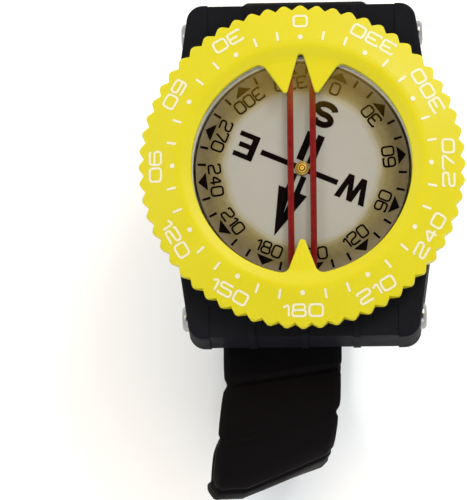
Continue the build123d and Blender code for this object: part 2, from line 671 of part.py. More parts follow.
# ---------------------------------------------------------------- strap pins and their screws
for name, y in (("upper", PIN_Y), ("lower", -PIN_Y)):
    with BuildPart() as tube:
        with BuildSketch(Plane.YZ):
            with Locations((y, PIN_Z)):
                Circle(PIN_RADIUS)
        extrude(amount=PIN_HALF_LENGTH, both=True)
        with BuildSketch(Plane.YZ):
            with Locations((y, PIN_Z)):
                Circle(SCREW_RADIUS)
        extrude(amount=PIN_HALF_LENGTH, both=True, mode=Mode.SUBTRACT)
    pieces.append((f"strap_pin_{name}", tube))

    with BuildPart() as screws:
        for side in (-1, 1):
            with BuildSketch(Plane.YZ.offset(side * HEAD_SEAT_X)):
                with Locations((y, PIN_Z)):
                    Circle(HEAD_RADIUS)
            extrude(amount=side * HEAD_THICKNESS)
            rim = screws.faces().sort_by(Axis.X)[-1 if side > 0 else 0].edges()
            fillet(rim, HEAD_EDGE_RADIUS)
            with BuildSketch(Plane.YZ.offset(side * (HEAD_SEAT_X + HEAD_THICKNESS - CROSS_SLOT_DEPTH))):
                with Locations((y, PIN_Z)):
                    Rectangle(CROSS_SLOT_LENGTH, CROSS_SLOT_WIDTH)
                    Rectangle(CROSS_SLOT_WIDTH, CROSS_SLOT_LENGTH)
            extrude(amount=side * CROSS_SLOT_DEPTH, mode=Mode.SUBTRACT)
            with BuildSketch(Plane.YZ.offset(side * (HEAD_SEAT_X - HEAD_SHANK_LENGTH))):
                with Locations((y, PIN_Z)):
                    Circle(SCREW_RADIUS)
            extrude(amount=side * (HEAD_SHANK_LENGTH + HEAD_SHANK_ROOT))
    pieces.append((f"strap_screws_{name}", screws))

# ---------------------------------------------------------------- strap halves
# The long half is straight at its lug. Beyond, it is skewed about its own middle, so it curls
# over at a slant and its left edge reaches further than its right edge.
long_start = LONG_SHIFT - LONG_WIDTH / 2
long_face = strap_face(LONG_ROUTE, LONG_BENDS, STRAP_THICKNESS / 2)
long_side = Plane.YZ.offset(long_start)
with BuildPart() as strap_long:
    with BuildSketch(long_side):
        add(long_face)
        with Locations((SKEW_END_Y / 2, 0)):
            Rectangle(-SKEW_END_Y, 8 * BARREL_RADIUS, mode=Mode.INTERSECT)
    extrude(amount=LONG_WIDTH)
    with BuildSketch(long_side):
        with Locations((-LONG_SKEW * LONG_WIDTH / 2, 0)):
            add(long_face)
        with Locations((SKEW_START_Y, 0)):
            Rectangle(
                -2 * SKEW_START_Y,
                8 * BARREL_RADIUS,
                align=(Align.MIN, Align.CENTER),
                mode=Mode.SUBTRACT,
            )
    extrude(amount=LONG_WIDTH * (1 + LONG_SKEW**2) ** 0.5, dir=(1, LONG_SKEW, 0))
    with BuildSketch(Plane.YZ):
        with Locations(LONG_ROUTE[0]):
            Circle(PIN_RADIUS + PIN_CLEARANCE)
    extrude(amount=WAIST_RADIUS, both=True, mode=Mode.SUBTRACT)
    with BuildSketch(Plane.XY.offset(LONG_ROUTE[-1][1] - STRAP_THICKNESS)):
        for hole in range(HOLE_COUNT):
            with Locations((LONG_SHIFT, HOLE_FIRST_Y + hole * HOLE_PITCH)):
                SlotOverall(HOLE_LENGTH, HOLE_WIDTH)
    extrude(amount=2 * STRAP_THICKNESS, mode=Mode.SUBTRACT)
pieces.append(("strap_long", strap_long))

buckle_y, buckle_z = SHORT_ROUTE[-1]
with BuildPart() as strap_short:
    with BuildSketch(Plane.YZ.offset(SHORT_SHIFT)):
        add(strap_face(SHORT_ROUTE, SHORT_BENDS, BUCKLE_BARREL))
    extrude(amount=SHORT_WIDTH / 2, both=True)
    with BuildSketch(Plane.YZ):
        with Locations(SHORT_ROUTE[0]):
            Circle(PIN_RADIUS + PIN_CLEARANCE)
        with Locations(SHORT_ROUTE[-1]):
            Circle(BUCKLE_PIN_RADIUS)
    extrude(amount=WAIST_RADIUS, both=True, mode=Mode.SUBTRACT)
    # notch that lets the tongue hinge on the buckle pin
    with BuildSketch(Plane.XY.offset(buckle_z)):
        with Locations((SHORT_SHIFT, buckle_y)):
            Rectangle(TONGUE_NOTCH, 2 * (BUCKLE_BARREL + TONGUE_NOTCH_MARGIN))
    extrude(amount=2 * BUCKLE_BARREL, both=True, mode=Mode.SUBTRACT)
pieces.append(("strap_short", strap_short))

# ---------------------------------------------------------------- buckle
with BuildPart() as buckle_pin:
    with BuildSketch(Plane.YZ.offset(SHORT_SHIFT)):
        with Locations((buckle_y, buckle_z)):
            Circle(BUCKLE_PIN_RADIUS)
    extrude(amount=BUCKLE_HALF_WIDTH - BUCKLE_PIN_INSET, both=True)
pieces.append(("buckle_pin", buckle_pin))

with BuildPart() as buckle_frame:
    for side in (-1, 1):
        with BuildSketch(Plane.YZ.offset(SHORT_SHIFT + side * (BUCKLE_HALF_WIDTH - BUCKLE_ARM / 2))):
            with Locations((buckle_y - BUCKLE_LENGTH / 2, buckle_z)):
                arm_height = 2 * BUCKLE_BARREL - BUCKLE_ARM_MARGIN
                SlotOverall(BUCKLE_LENGTH + arm_height, arm_height)
        extrude(amount=BUCKLE_ARM / 2, both=True)
    with BuildSketch(Plane.YZ.offset(SHORT_SHIFT)):
        with Locations((buckle_y - BUCKLE_LENGTH, buckle_z)):
            Circle(BUCKLE_BAR)
    extrude(amount=BUCKLE_HALF_WIDTH - BUCKLE_ARM, both=True)
    with BuildSketch(Plane.YZ.offset(SHORT_SHIFT)):
        with Locations((buckle_y, buckle_z)):
            Circle(BUCKLE_PIN_RADIUS + PIN_CLEARANCE)
    extrude(amount=WAIST_RADIUS, both=True, mode=Mode.SUBTRACT)
pieces.append(("buckle_frame", buckle_frame))

with BuildPart() as buckle_tongue:
    tongue_top = buckle_z - BUCKLE_BAR - TONGUE_BAR_GAP
    tongue_end = buckle_y - BUCKLE_LENGTH - TONGUE_OVERHANG
    knee_y = buckle_y - BUCKLE_LENGTH * TONGUE_KNEE
    with BuildSketch(Plane.YZ.offset(SHORT_SHIFT)):
        with Locations((buckle_y, buckle_z)):
            Circle(TONGUE_EYE)
        with BuildLine():
            Polyline(
                (buckle_y, buckle_z - TONGUE_ROOT_DROP),
                (knee_y, tongue_top),
                (tongue_end, tongue_top),
                (tongue_end, tongue_top - TONGUE_THICKNESS),
                (knee_y, tongue_top - TONGUE_THICKNESS),
                (buckle_y, buckle_z - TONGUE_EYE),
                close=True,
            )
        make_face()
        with Locations((buckle_y, buckle_z)):
            Circle(BUCKLE_PIN_RADIUS + PIN_CLEARANCE, mode=Mode.SUBTRACT)
    extrude(amount=TONGUE_WIDTH / 2, both=True)
pieces.append(("buckle_tongue", buckle_tongue))

# ---------------------------------------------------------------- strap loops
loop_plane = Plane(origin=(SHORT_SHIFT, FIXED_KEEPER_Y, buckle_z), x_dir=(1, 0, 0), z_dir=(0, 1, 0))
with BuildPart() as keeper_fixed:
    add(keeper(
        loop_plane,
        SHORT_WIDTH + 2 * KEEPER_WALL,
        STRAP_THICKNESS + 2 * KEEPER_WALL,
        SHORT_WIDTH,
        STRAP_THICKNESS,
    ))
pieces.append(("keeper_fixed", keeper_fixed))

slant_start, slant_end = Vector(0, *SHORT_ROUTE[3]), Vector(0, *SHORT_ROUTE[4])
slant_middle = (slant_start + slant_end) * 0.5 + Vector(SHORT_SHIFT, 0, 0)
slide_plane = Plane(origin=slant_middle, x_dir=(1, 0, 0), z_dir=slant_end - slant_start)
with BuildPart() as keeper_free:
    add(keeper(
        slide_plane,
        SHORT_WIDTH + 2 * (KEEPER_WALL + KEEPER_GAP),
        STRAP_THICKNESS + 2 * (KEEPER_WALL + KEEPER_GAP),
        SHORT_WIDTH + 2 * KEEPER_GAP,
        STRAP_THICKNESS + 2 * KEEPER_GAP,
    ))
pieces.append(("keeper_free", keeper_free))

for name, piece in pieces:
    piece.part.label = name
    export_step(piece.part, f"parts/{name}.step")
    print(name, round(piece.part.volume, 1))
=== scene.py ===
import json
import math

import bmesh
import bpy
from mathutils import Matrix, Vector


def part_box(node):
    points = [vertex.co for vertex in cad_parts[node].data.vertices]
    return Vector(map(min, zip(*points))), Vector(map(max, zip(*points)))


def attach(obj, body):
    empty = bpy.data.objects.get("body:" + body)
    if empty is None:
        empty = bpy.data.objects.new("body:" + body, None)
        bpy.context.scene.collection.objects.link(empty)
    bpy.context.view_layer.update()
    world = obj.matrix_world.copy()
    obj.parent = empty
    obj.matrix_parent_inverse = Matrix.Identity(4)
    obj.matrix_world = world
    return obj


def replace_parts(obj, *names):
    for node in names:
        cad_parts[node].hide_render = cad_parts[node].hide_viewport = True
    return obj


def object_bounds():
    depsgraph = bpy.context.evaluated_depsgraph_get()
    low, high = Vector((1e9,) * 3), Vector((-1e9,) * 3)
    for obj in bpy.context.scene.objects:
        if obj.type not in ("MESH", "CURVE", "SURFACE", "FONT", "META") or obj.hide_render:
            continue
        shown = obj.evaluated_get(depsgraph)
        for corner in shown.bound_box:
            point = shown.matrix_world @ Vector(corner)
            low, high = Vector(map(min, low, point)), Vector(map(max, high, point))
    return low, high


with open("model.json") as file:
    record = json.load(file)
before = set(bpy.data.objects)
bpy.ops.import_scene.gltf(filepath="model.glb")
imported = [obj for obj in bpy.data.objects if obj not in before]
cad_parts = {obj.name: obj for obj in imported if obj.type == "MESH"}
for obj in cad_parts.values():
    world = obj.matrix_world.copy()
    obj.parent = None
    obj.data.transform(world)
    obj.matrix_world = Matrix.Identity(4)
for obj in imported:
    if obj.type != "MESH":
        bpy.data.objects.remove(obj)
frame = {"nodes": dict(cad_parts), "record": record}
cad_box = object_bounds()

MM = 0.001
CARD_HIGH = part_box("card_disc")[1]
LINES_LOW, LINES_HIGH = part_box("lubber_lines")

# Floating card: where its north arrow points, and the radius of the brass cup at its centre.
CARD_HEADING = math.radians(202.9)
CUP_RADIUS = 1.5 * MM

# The bezel's top is a shallow cone from its rounded rim up to where its inner lip rolls over.
CONE_LOW_RADIUS, CONE_LOW_Z = 33.0 * MM, 17.8 * MM
CONE_HIGH_RADIUS, CONE_HIGH_Z = 26.8 * MM, 19.29 * MM

# The two red lines beside the dial's axis.
LUBBER_X, LUBBER_HALF_WIDTH, LUBBER_FADE = 2.35 * MM, 0.66 * MM, 0.8 * MM

# Strap halves: side routes in millimetres, from the pin to the far end, with bend radii.
THICKNESS = 3.0
PIN_BORE, EYE_RADIUS = 1.55, 3.1
EYE_INSET = 0.1
ROUTE_START = 1.7
LONG_SHIFT, LONG_WIDTH = -4.6, 26.0
SHORT_SHIFT, SHORT_WIDTH = 0.4, 28.4
LONG_ROUTE = [(-30.3, 4.6), (-32.8, -4.2), (-62.3, -4.2), (-61.8, -29.0), (-45.0, -44.5), (-16.0, -44.5)]
LONG_BENDS = [3.0, 11.0, 13.0, 13.0]
SHORT_ROUTE = [(30.3, 4.6), (32.5, -3.4), (38.6, -5.2), (38.9, -27.5), (25.0, -42.9), (11.0, -42.9)]
SHORT_BENDS = [2.2, 3.0, 9.0, 8.0]
LONG_TIP, SHORT_TIP = 1.5, -1.3
LUG_END_Y = -36.6
HOLES_Y = [-40.0 + 4.5 * k for k in range(5)]
FIRST_GROOVE_Y, GROOVE_PITCH = -41.95, 10.6
SHORT_GROOVES = [16.5, 26.8]
GROOVE_DEPTH, NOTCH_DEPTH = 0.40, 0.55

# Buckle eyes at the short half's end, and the keepers.
BUCKLE_BORE, BUCKLE_EYE_RADIUS, TONGUE_HALF_GAP = 1.0, 2.2, 1.6
FIXED_KEEPER_Y, FREE_KEEPER_GAP = 16.9, 0.7
KEEPER_WALL, KEEPER_LENGTH, KEEPER_CORNER, KEEPER_EDGE = 1.3, 5.0, 1.9, 0.45


# ---------------------------------------------------------------- shader helpers
class Shader:
    """A material's node tree with one Principled shader, and short calls to build on it."""

    def __init__(self, name, color, roughness, **sockets):
        self.material = bpy.data.materials.new(name)
        self.material.use_nodes = True
        self.tree = self.material.node_tree
        self.bsdf = self.tree.nodes["Principled BSDF"]
        self.output = self.tree.nodes["Material Output"]
        self.set(self.bsdf, "Base Color", (*color, 1))
        self.set(self.bsdf, "Roughness", roughness)
        for key, value in sockets.items():
            self.set(self.bsdf, key.replace("_", " "), value)
        self.coords = self.node("ShaderNodeTexCoord").outputs["Object"]

    def node(self, kind, **fields):
        made = self.tree.nodes.new(kind)
        for key, value in fields.items():
            setattr(made, key, value)
        return made

    def set(self, node, socket, value):
        node.inputs[socket].default_value = value

    def link(self, source, target):
        self.tree.links.new(source, target)

    def noise(self, scale, detail, coords=None):
        made = self.node("ShaderNodeTexNoise")
        self.link(coords or self.coords, made.inputs["Vector"])
        self.set(made, "Scale", scale)
        self.set(made, "Detail", detail)
        return made.outputs["Fac"]

    def math(self, operation, first, second=0.5):
        made = self.node("ShaderNodeMath", operation=operation)
        for socket, value in zip(made.inputs, (first, second)):
            if isinstance(value, (int, float)):
                socket.default_value = value
            else:
                self.link(value, socket)
        return made.outputs[0]

    def remap(self, source, low, high, to_low, to_high):
        made = self.node("ShaderNodeMapRange")
        self.link(source, made.inputs["Value"])
        ends = {"From Min": low, "From Max": high, "To Min": to_low, "To Max": to_high}
        for socket, value in ends.items():
            self.set(made, socket, value)
        return made.outputs["Result"]

    def ramp(self, source, stops):
        made = self.node("ShaderNodeValToRGB")
        made.color_ramp.interpolation = "EASE"
        elements = made.color_ramp.elements
        while len(elements) < len(stops):
            elements.new(0.5)
        for element, (place, color) in zip(elements, stops):
            element.position = place
            element.color = (*color, 1)
        self.link(source, made.inputs["Fac"])
        return made.outputs["Color"]

    def mix(self, factor, first, second):
        """Colour between two colours or colour sockets."""
        made = self.node("ShaderNodeMix", data_type="RGBA")
        for socket, value in ((made.inputs[0], factor), (made.inputs[6], first), (made.inputs[7], second)):
            if isinstance(value, (int, float)):
                socket.default_value = value
            elif isinstance(value, tuple):
                socket.default_value = (*value, 1)
            else:
                self.link(value, socket)
        return made.outputs[2]

    def radius(self):
        """Distance from the dial's axis, in metres."""
        split = self.node("ShaderNodeSeparateXYZ")
        self.link(self.coords, split.inputs[0])
        square_x, square_y = (self.math("POWER", split.outputs[axis], 2) for axis in "XY")
        return self.math("SQRT", self.math("ADD", square_x, square_y))

    def bump(self, height, strength, distance):
        made = self.node("ShaderNodeBump")
        self.set(made, "Strength", strength)
        self.set(made, "Distance", distance)
        self.link(height, made.inputs["Height"])
        previous = self.bsdf.inputs["Normal"].links
        if previous:
            self.link(previous[0].from_socket, made.inputs["Normal"])
        self.link(made.outputs["Normal"], self.bsdf.inputs["Normal"])

    def color(self, source):
        self.link(source, self.bsdf.inputs["Base Color"])

    def rough(self, source):
        self.link(source, self.bsdf.inputs["Roughness"])


def housing_plastic():
    """Black moulded plastic: fine spark-eroded grain, faint mottling of the gloss."""
    s = Shader("black_housing", (0.009, 0.009, 0.011), 0.45, Specular_IOR_Level=0.004)
    grain = s.noise(5200, 2)
    patches = s.noise(160, 4)
    s.color(s.mix(patches, (0.007, 0.007, 0.009), (0.011, 0.011, 0.014)))
    s.rough(s.remap(patches, 0.3, 0.7, 0.36, 0.50))
    s.bump(grain, 0.22, 0.00006)
    s.bump(s.noise(420, 3), 0.10, 0.0002)
    return s.material


def bezel_plastic():
    """Yellow satin plastic with a fine grain, slightly paler where thumbs have polished it."""
    s = Shader("yellow_bezel", (0.50, 0.45, 0.009), 0.42, Specular_IOR_Level=0.20)
    patches = s.noise(90, 4)
    specks = s.noise(2600, 2)
    tint = s.mix(patches, (0.490, 0.425, 0.006), (0.528, 0.466, 0.010))
    s.color(s.mix(s.remap(specks, 0.62, 0.72, 0.0, 0.10), tint, (0.60, 0.56, 0.10)))
    s.rough(s.remap(patches, 0.3, 0.7, 0.34, 0.46))
    s.bump(s.noise(4200, 2), 0.16, 0.00005)
    s.set(s.bsdf, "Subsurface Weight", 0.12)
    s.set(s.bsdf, "Subsurface Radius", (0.0016, 0.0012, 0.0002))
    s.set(s.bsdf, "Subsurface Scale", 1.0)
    return s.material


def print_ink():
    """Cream pad-printed ink, a little uneven."""
    s = Shader("bezel_ink", (0.60, 0.58, 0.43), 0.55)
    s.color(s.mix(s.remap(s.noise(2400, 3), 0.35, 0.7, 0.0, 1.0), (0.61, 0.585, 0.43), (0.56, 0.53, 0.33)))
    s.bump(s.noise(5000, 2), 0.15, 0.00003)
    return s.material


def card_print():
    """Floating card: off-white middle, an olive scale ring with a cloudy edge, its darkness partly painted
    shade, and a paler rim.
    """
    s = Shader("dial_card", (0.31, 0.30, 0.29), 0.62, Specular_IOR_Level=0.2)
    cloud = s.remap(s.noise(130, 4), 0.3, 0.7, -0.5 * MM, 0.5 * MM)
    place = s.math("DIVIDE", s.math("ADD", s.radius(), cloud), CARD_HIGH.x)
    # the olive ring is partly the card's own tint and partly painted shade under the bezel's opening,
    # darkest from 0.76 to 0.90 of the radius
    base = s.ramp(
        place,
        [
            (0.00, (0.332, 0.322, 0.312)),
            (0.68, (0.328, 0.316, 0.296)),
            (0.72, (0.305, 0.280, 0.212)),
            (0.76, (0.222, 0.182, 0.088)),
            (0.80, (0.176, 0.138, 0.052)),
            (0.90, (0.138, 0.108, 0.044)),
            (1.00, (0.168, 0.134, 0.084)),
        ],
    )
    mottled = s.mix(s.remap(s.noise(900, 4), 0.35, 0.7, 0.0, 0.07), base, (0.36, 0.355, 0.34))
    s.color(mottled)
    s.bump(s.noise(2600, 3), 0.08, 0.00005)
    return s.material


def card_ink():
    """Black ink on the card."""
    s = Shader("card_ink", (0.002, 0.001, 0.001), 0.6, Specular_IOR_Level=0.02)
    s.color(s.mix(s.noise(1500, 3), (0.0012, 0.0005, 0.0005), (0.0034, 0.0014, 0.0012)))
    return s.material


def turned_brass():
    """Turned brass: three raised rings with painted highlights on their crests, painted shade in the
    grooves between and round the edge, and the tool's fine marks.
    """
    s = Shader("brass", (0.52, 0.32, 0.07), 0.30, Metallic=0.30)
    # the pale colour is a painted highlight on the rings' crests, the near-black one painted shade in the
    # grooves and round the cup's edge
    groove, crest_highlight = (0.05, 0.018, 0.001), (0.78, 0.47, 0.07)
    places = (0.0, 0.2, 0.38, 0.56, 0.74, 0.86, 1.0)
    rings = [(place, crest_highlight if k % 2 else groove) for k, place in enumerate(places)]
    s.color(s.ramp(s.math("DIVIDE", s.radius(), CUP_RADIUS), rings))
    s.bump(s.math("SINE", s.math("MULTIPLY", s.radius(), 30000)), 0.35, 0.00002)
    s.rough(s.remap(s.noise(1800, 3), 0.3, 0.7, 0.30, 0.44))
    return s.material


def steel(name, roughness, stretch, tone):
    """Stainless steel, brushed along X when stretched."""
    s = Shader(name, (0.52 * tone, 0.51 * tone, 0.50 * tone), roughness, Metallic=1.0)
    mapping = s.node("ShaderNodeMapping")
    mapping.inputs["Scale"].default_value = (1.0 / stretch, 1.0, 1.0)
    s.link(s.coords, mapping.inputs["Vector"])
    lines = s.noise(3200, 3, coords=mapping.outputs[0])
    dark = (0.44 * tone, 0.43 * tone, 0.42 * tone)
    pale = (0.58 * tone, 0.57 * tone, 0.56 * tone)
    s.color(s.mix(lines, dark, pale))
    s.rough(s.remap(lines, 0.3, 0.7, roughness * 0.7, roughness * 1.4))
    s.bump(lines, 0.12, 0.00004)
    return s.material


def strap_rubber():
    """Matt black moulded rubber with a fine pebble and faint paler patches."""
    s = Shader("strap_rubber", (0.004, 0.003, 0.003), 0.60, Specular_IOR_Level=0.03)
    patches = s.noise(110, 4)
    s.color(s.mix(patches, (0.002, 0.0015, 0.0016), (0.004, 0.0032, 0.0034)))
    s.rough(s.remap(patches, 0.3, 0.7, 0.50, 0.68))
    s.bump(s.noise(3400, 3), 0.30, 0.00008)
    s.bump(s.noise(500, 2), 0.12, 0.0002)
    return s.material


def plain_rubber():
    """Seal rubber."""
    s = Shader("black_rubber", (0.016, 0.016, 0.016), 0.55)
    s.color(s.mix(s.noise(300, 3), (0.012, 0.012, 0.012), (0.024, 0.024, 0.024)))
    s.bump(s.noise(2600, 3), 0.2, 0.00005)
    return s.material


def pale_plastic():
    """Milky moulded plastic of the capsule's cup."""
    s = Shader("pale_capsule", (0.80, 0.78, 0.72), 0.45)
    s.color(s.mix(s.noise(140, 3), (0.76, 0.74, 0.68), (0.84, 0.82, 0.76)))
    s.bump(s.noise(2200, 2), 0.08, 0.00005)
    s.set(s.bsdf, "Subsurface Weight", 0.1)
    s.set(s.bsdf, "Subsurface Radius", (0.002, 0.002, 0.0015))
    s.set(s.bsdf, "Subsurface Scale", 1.0)
    return s.material


def red_satin():
    """Dark red satin inlay of the lubber lines."""
    s = Shader("red_line", (0.14, 0.004, 0.004), 0.34, Specular_IOR_Level=0.10)
    s.color(s.mix(s.remap(s.noise(700, 3), 0.3, 0.7, 0, 1), (0.115, 0.003, 0.003), (0.175, 0.006, 0.006)))
    s.bump(s.noise(900, 2), 0.10, 0.00008)
    return s.material


def clear_plastic():
    """Clear polished cover: it shows what is behind it and mirrors the room a little at its surface."""
    s = Shader("clear_dome", (1, 1, 1), 0.04)
    s.tree.nodes.remove(s.bsdf)
    clear = s.node("ShaderNodeBsdfTransparent")
    clear.inputs["Color"].default_value = (0.985, 0.985, 0.965, 1)
    shine = s.node("ShaderNodeBsdfGlossy")
    shine.inputs["Roughness"].default_value = 0.05
    fresnel = s.node("ShaderNodeFresnel")
    fresnel.inputs["IOR"].default_value = 1.48
    # the cover's top is very slightly convex
    crown = s.node("ShaderNodeBump")
    s.set(crown, "Strength", 1.0)
    s.set(crown, "Distance", 1.0)
    s.link(s.math("MULTIPLY", s.math("POWER", s.radius(), 2), -2.0), crown.inputs["Height"])
    s.link(crown.outputs["Normal"], shine.inputs["Normal"])
    # only the outer face mirrors: the oil behind the cover hides the inner face's reflection
    geometry = s.node("ShaderNodeNewGeometry")
    outer = s.math("SUBTRACT", 1.0, geometry.outputs["Backfacing"])
    outer_shine = s.math("MULTIPLY", fresnel.outputs[0], outer)
    # the rolled shoulder's reflection is turned down to a fifth: painted shade where it sits under the
    # bezel
    facing = s.node("ShaderNodeSeparateXYZ")
    s.link(geometry.outputs["Normal"], facing.inputs[0])
    shoulder_shade = s.remap(facing.outputs["Z"], 0.75, 0.98, 0.2, 1.0)
    outer_shine = s.math("MULTIPLY", outer_shine, shoulder_shade)
    mixed = s.node("ShaderNodeMixShader")
    s.link(outer_shine, mixed.inputs[0])
    s.link(clear.outputs[0], mixed.inputs[1])
    s.link(shine.outputs[0], mixed.inputs[2])
    s.link(mixed.outputs[0], s.output.inputs["Surface"])
    return s.material


def drag_plastic():
    """Off-white slippery plastic of the friction ring."""
    s = Shader("drag_plastic", (0.80, 0.80, 0.76), 0.5)
    s.bump(s.noise(2600, 2), 0.1, 0.00005)
    s.color(s.mix(s.noise(200, 3), (0.74, 0.74, 0.70), (0.84, 0.84, 0.80)))
    return s.material


def magnet_coating():
    """Dark plated magnets."""
    s = Shader("magnet_steel", (0.05, 0.05, 0.055), 0.4, Metallic=0.6)
    s.color(s.mix(s.noise(900, 3), (0.035, 0.035, 0.04), (0.08, 0.08, 0.085)))
    s.bump(s.noise(3000, 3), 0.2, 0.00005)
    return s.material


def jewel_red():
    """Polished synthetic ruby of the bearing stone."""
    s = Shader("jewel_stone", (0.4, 0.02, 0.08), 0.1)
    s.color(s.mix(s.noise(1200, 2), (0.35, 0.015, 0.07), (0.48, 0.03, 0.10)))
    s.set(s.bsdf, "Coat Weight", 0.8)
    return s.material


MATERIALS = {
    "black_housing": housing_plastic(),
    "stainless": steel("stainless", 0.30, 12, 0.85),
    "polished_screw": steel("polished_screw", 0.22, 1, 0.55),
    "buckle_steel": steel("buckle_steel", 0.30, 14, 0.72),
    "black_rubber": plain_rubber(),
    "strap_rubber": strap_rubber(),
    "pale_capsule": pale_plastic(),
    "clear_dome": clear_plastic(),
    "red_line": red_satin(),
    "dial_card": card_print(),
    "magnet_steel": magnet_coating(),
    "brass": turned_brass(),
    "jewel_stone": jewel_red(),
    "yellow_bezel": bezel_plastic(),
    "drag_plastic": drag_plastic(),
}
BEZEL_INK = print_ink()
CARD_INK = card_ink()


def dress_cad_nodes():
    """Every CAD node takes the detailed material of its slot, and smooth shading under 35 degrees."""
    slot_of = {row["node"]: row["material_slot"] for row in frame["record"]["subparts"]}
    for name, node in frame["nodes"].items():
        material = MATERIALS[slot_of[name]]
        if not node.material_slots:
            node.data.materials.append(material)
        for material_slot in node.material_slots:
            material_slot.material = material
        smooth_by_angle(node.data, 35)


def smooth_by_angle(mesh, degrees):
    """Smooth shading, kept sharp at edges that turn more than an angle."""
    for polygon in mesh.polygons:
        polygon.use_smooth = True
    mesh.set_sharp_from_angle(angle=math.radians(degrees))


# ---------------------------------------------------------------- printed marks
def rounded(points, radius, closed=False, steps=5):
    """A polyline with its corners eased by short curves."""
    points = [Vector(p) for p in points]
    count = len(points)
    result = []
    for i, corner in enumerate(points):
        if not closed and i in (0, count - 1):
            result.append(corner)
            continue
        before, after = points[i - 1], points[(i + 1) % count]
        reach = min(radius, (corner - before).length * 0.49, (after - corner).length * 0.49)
        start = corner + (before - corner).normalized() * reach
        end = corner + (after - corner).normalized() * reach
        for k in range(steps + 1):
            t = k / steps
            result.append(start * (1 - t) ** 2 + corner * (2 * t * (1 - t)) + end * t**2)
    return result


def arc(centre, radii, start, end, steps=16):
    """Points on an ellipse between two angles in degrees."""
    turn = [math.radians(start + (end - start) * k / steps) for k in range(steps + 1)]
    return [(centre[0] + radii[0] * math.cos(a), centre[1] + radii[1] * math.sin(a)) for a in turn]


class Print:
    """Collects thin raised marks on a surface z = height(x, y) into one mesh.

    Marks next to each other differ a little in height, so that crossing marks never share a face.
    """

    LIFT = 0.045 * MM
    SINK = 0.05 * MM
    STEP = 0.002 * MM
    LEVELS = 7

    def __init__(self, height):
        self.height = height
        self.vertices = []
        self.faces = []
        self.count = 0

    def _ring(self, points, place, lift):
        first = len(self.vertices)
        for point in points:
            x, y = place(point)
            self.vertices.append((x, y, self.height(x, y) + lift))
        return list(range(first, len(self.vertices)))

    def patch(self, points, place):
        """A filled outline."""
        self.count += 1
        lift = self.LIFT + (self.count % self.LEVELS) * self.STEP
        top = self._ring(points, place, lift)
        bottom = self._ring(points, place, -self.SINK)
        area = sum(
            self.vertices[a][0] * self.vertices[b][1] - self.vertices[b][0] * self.vertices[a][1]
            for a, b in zip(top, top[1:] + top[:1])
        )
        if area < 0:
            top.reverse()
            bottom.reverse()
        self.faces.append(top)
        self.faces.append(bottom[::-1])
        for i in range(len(top)):
            j = (i + 1) % len(top)
            self.faces.append((bottom[i], bottom[j], top[j], top[i]))

    def stroke(self, points, width, place, closed=False):
        """A line of constant width, mitred at its corners."""
        points = [Vector(p) for p in points]
        count = len(points)
        left, right = [], []
        for i, point in enumerate(points):
            before = points[i - 1] if closed or i else points[i]
            after = points[(i + 1) % count] if closed or i < count - 1 else points[i]
            into = (point - before).normalized() if (point - before).length > 0 else None
            out = (after - point).normalized() if (after - point).length > 0 else None
            into, out = into or out, out or into
            along = (into + out).normalized()
            side = Vector((-along.y, along.x))
            spread = width / 2 / max(0.5, side.dot(Vector((-out.y, out.x))))
            left.append(point + side * spread)
            right.append(point - side * spread)
        self.count += 1
        lift = self.LIFT + (self.count % self.LEVELS) * self.STEP
        rings = [
            self._ring(left, place, lift),
            self._ring(right, place, lift),
            self._ring(right, place, -self.SINK),
            self._ring(left, place, -self.SINK),
        ]
        for i in range(count if closed else count - 1):
            j = (i + 1) % count
            for a, b in zip(rings, rings[1:] + rings[:1]):
                self.faces.append((a[i], a[j], b[j], b[i]))
        if not closed:
            self.faces.append([ring[0] for ring in rings])
            self.faces.append([ring[-1] for ring in rings][::-1])

    def build(self, name, body, material):
        """Makes one piece of all the marks, riding on a body."""
        mesh = bpy.data.meshes.new(name)
        mesh.from_pydata(self.vertices, [], [tuple(face) for face in self.faces])
        mesh.validate()
        mesh.update()
        recalculate_normals(mesh)
        return add_piece(mesh, body, material)


def add_piece(mesh, body, material):
    """Puts a mesh in the scene as a piece of its own name that rides on a body."""
    mesh.materials.append(material)
    piece = bpy.data.objects.new(mesh.name, mesh)
    bpy.context.scene.collection.objects.link(piece)
    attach(piece, body)
    return piece


def recalculate_normals(mesh):
    """Turns every face outwards."""
    work = bmesh.new()
    work.from_mesh(mesh)
    bmesh.ops.recalc_face_normals(work, faces=work.faces)
    work.to_mesh(mesh)
    work.free()
    mesh.update()


# Squarish digits as centrelines in a unit box: (points, closed) for each stroke.
DIGITS = {
    "0": [([(0, 0), (1, 0), (1, 1), (0, 1)], True)],
    "1": [([(0, 0.74), (0.42, 1), (0.42, 0)], False)],
    "2": [([(0, 0.80), (0, 1), (1, 1), (1, 0.53), (0, 0.42), (0, 0), (1, 0)], False)],
    "3": [
        ([(0, 0.84), (0, 1), (1, 1), (1, 0.53), (0.28, 0.53)], False),
        ([(0.85, 0.53), (1, 0.50), (1, 0), (0, 0), (0, 0.16)], False),
    ],
    "4": [([(0.74, 0), (0.74, 1), (0, 0.30), (1, 0.30)], False)],
    "5": [([(0.95, 1), (0, 1), (0, 0.58), (1, 0.58), (1, 0), (0, 0), (0, 0.16)], False)],
    "6": [([(0.95, 0.86), (0.95, 1), (0, 1), (0, 0), (1, 0), (1, 0.58), (0, 0.58)], False)],
    "7": [([(0, 0.82), (0, 1), (1, 1), (1, 0.82), (0.42, 0)], False)],
    "8": [
        ([(0.06, 0.52), (0.94, 0.52), (0.94, 1), (0.06, 1)], True),
        ([(0, 0), (1, 0), (1, 0.52), (0, 0.52)], True),
    ],
    "9": [([(0.05, 0.14), (0.05, 0), (1, 0), (1, 1), (0, 1), (0, 0.42), (1, 0.42)], False)],
}


ONE_WIDTH = 0.42


